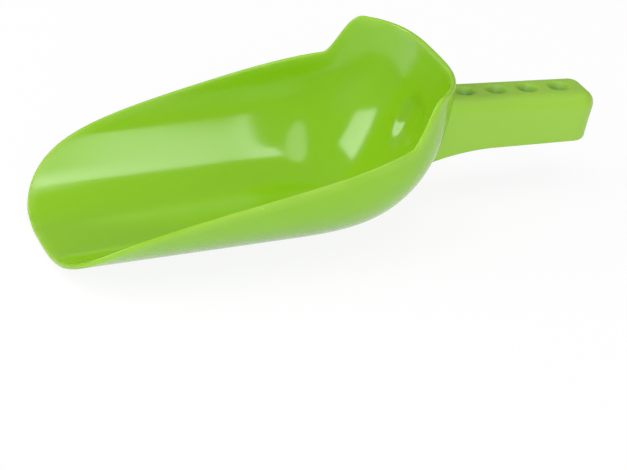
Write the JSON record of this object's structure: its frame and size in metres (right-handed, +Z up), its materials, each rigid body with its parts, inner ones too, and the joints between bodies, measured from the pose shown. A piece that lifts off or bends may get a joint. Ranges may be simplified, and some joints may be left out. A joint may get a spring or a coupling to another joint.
{
  "type": "sand shovel",
  "caption": "Child's moulded sand scoop: a deep trough with a rounded lip, rising side rims and a raised hood at its back, carried by a short dimpled handle that is open below.",
  "frame": {"origin": "on the plane that the floor rests on, under the middle of the overall length and width", "axes": "+X from the lip towards the handle's end, +Z up, +Y across the bowl"},
  "size_m": [0.261, 0.138, 0.0686],
  "materials": {
    "bowl_plastic": "smooth glossy moulded plastic, lime green",
    "handle_plastic": "smooth glossy moulded plastic, lime green"
  },
  "bodies": {
    "root": {"scoop_shell": "bowl_plastic", "handle_grip": "handle_plastic"}
  },
  "joints": []
}
